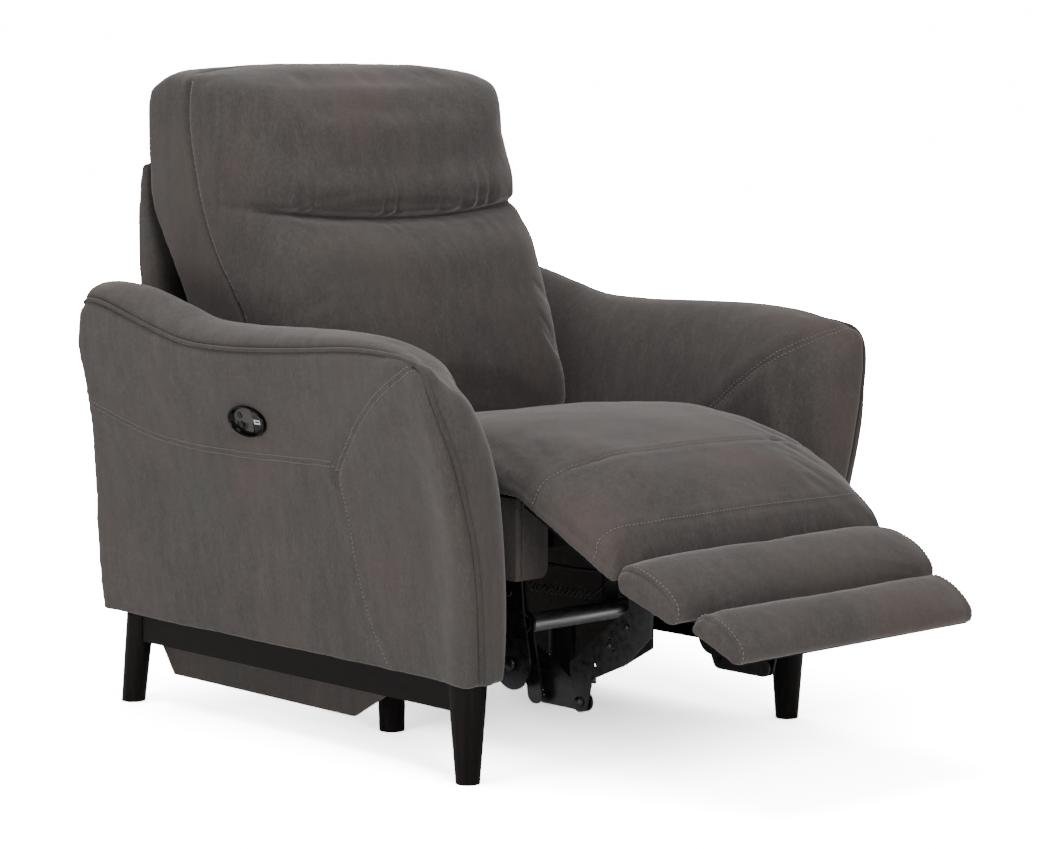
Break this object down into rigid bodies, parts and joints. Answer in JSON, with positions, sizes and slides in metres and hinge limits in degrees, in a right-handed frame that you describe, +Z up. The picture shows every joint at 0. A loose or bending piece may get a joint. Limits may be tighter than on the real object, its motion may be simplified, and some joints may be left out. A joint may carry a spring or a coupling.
{
  "type": "recliner armchair",
  "caption": "Powered recliner armchair with flared padded arms, folding padded leg rest, reclining back with head cushion, and an arm switch.",
  "frame": {"origin": "on the floor under the middle of the chair's outline, with the leg rest out and the back upright", "axes": "the chair faces -Y, +X is the sitter's left, +Z is up"},
  "size_m": [0.93, 1.3344, 1.034],
  "materials": {
    "wood_dark": "satin espresso stain",
    "steel_black": "satin black powder coat",
    "plywood": "raw plywood",
    "upholstery": "brushed suede cloth",
    "lining": "black lining cloth",
    "plastic_black": "matte",
    "plastic_gloss": "gloss",
    "plastic_grey": "matte",
    "plastic_white": "gloss",
    "spring_steel": "oiled wire"
  },
  "bodies": {
    "base": {"front_leg_r": "wood_dark", "front_leg_l": "wood_dark", "rear_leg_r": "wood_dark", "rear_leg_l": "wood_dark", "centre_leg_r": "wood_dark", "centre_leg_l": "wood_dark", "side_apron_r": "wood_dark", "side_apron_l": "wood_dark", "rear_apron": "wood_dark", "centre_cross_plate": "steel_black", "arm_frame_r": "plywood", "arm_frame_l": "plywood", "arm_pad_r": "upholstery", "arm_pad_l": "upholstery", "glide_rail_r": "steel_black", "glide_rail_l": "steel_black", "side_valance_r": "upholstery", "side_valance_l": "upholstery", "power_inlet": "plastic_black", "switch_bezel": "plastic_gloss", "switch_disc": "plastic_black", "usb_port": "plastic_white"},
    "seat": {"seat_box_r": "upholstery", "seat_box_l": "upholstery", "seat_front_rail": "lining", "seat_rear_rail": "plywood", "seat_springs": "spring_steel", "seat_cushion": "upholstery", "seat_plate_r": "steel_black", "seat_plate_l": "steel_black", "seat_cross_tube": "steel_black", "glide_shoes": "plastic_black", "motor_housing": "plastic_black", "motor_track": "steel_black"},
    "back": {"back_stile_r": "plywood", "back_stile_l": "plywood", "back_rails": "plywood", "back_springs": "spring_steel", "back_cushion": "upholstery", "head_cushion": "upholstery", "back_panel": "upholstery", "back_brackets": "steel_black"},
    "legrest": {"legrest_board": "plywood", "legrest_pad": "upholstery", "legrest_plate_r": "steel_black", "legrest_plate_l": "steel_black", "legrest_cross_tube": "steel_black"},
    "mid_rest": {"mid_board": "plywood", "mid_pad": "upholstery", "mid_brackets": "steel_black"},
    "end_rest": {"end_board": "plywood", "end_pad": "upholstery", "end_straps": "steel_black"},
    "crank_set": {"cranks": "steel_black", "torque_tube": "steel_black"},
    "drag_link_pair": {"drag_links": "steel_black"},
    "slider": {"motor_slider": "plastic_black"},
    "open_button": {"button_open": "plastic_grey"},
    "close_button": {"button_close": "plastic_grey"}
  },
  "joints": [
    {"name": "seat_glide", "type": "slide", "parent": "base", "child": "seat", "axis": [0, -1, 0], "range_m": [0, 0.09]},
    {"name": "back_recline", "type": "hinge", "parent": "seat", "child": "back", "pos_m": [0, 0.37, 0.388], "axis": [-1, 0, 0], "range_deg": [0, 28]},
    {"name": "legrest_swing", "type": "hinge", "parent": "seat", "child": "legrest", "pos_m": [0, -0.235, 0.4], "axis": [1, 0, 0], "range_deg": [0, 60]},
    {"name": "mid_fold", "type": "hinge", "parent": "legrest", "child": "mid_rest", "pos_m": [0, -0.442, 0.3], "axis": [1, 0, 0], "range_deg": [0, 6]},
    {"name": "end_fold", "type": "hinge", "parent": "mid_rest", "child": "end_rest", "pos_m": [0, -0.556, 0.252], "axis": [1, 0, 0], "range_deg": [0, 171]},
    {"name": "crank_swing", "type": "hinge", "parent": "seat", "child": "crank_set", "pos_m": [0, -0.145, 0.4], "axis": [1, 0, 0], "range_deg": [0, 60]},
    {"name": "drag_link_turn", "type": "hinge", "parent": "legrest", "child": "drag_link_pair", "pos_m": [0, -0.292, 0.113], "axis": [1, 0, 0], "range_deg": [-60, 0]},
    {"name": "slider_run", "type": "slide", "parent": "seat", "child": "slider", "axis": [0, 1, 0], "range_m": [0, 0.178]},
    {"name": "open_press", "type": "slide", "parent": "base", "child": "open_button", "axis": [0.9659, 0, 0.2588], "range_m": [0, 0.0015], "stiffness_N_per_m": 800},
    {"name": "close_press", "type": "slide", "parent": "base", "child": "close_button", "axis": [0.9659, 0, 0.2588], "range_m": [0, 0.0015], "stiffness_N_per_m": 800}
  ],
  "couplings": [
    {"joint": "seat_glide", "follows": "back_recline", "m_per_rad": 0.18416},
    {"joint": "mid_fold", "follows": "legrest_swing", "ratio": 0.1},
    {"joint": "end_fold", "follows": "legrest_swing", "ratio": 2.85},
    {"joint": "crank_swing", "follows": "legrest_swing", "ratio": 1},
    {"joint": "drag_link_turn", "follows": "legrest_swing", "ratio": -1},
    {"joint": "slider_run", "follows": "legrest_swing", "m_per_rad": 0.1699}
  ]
}
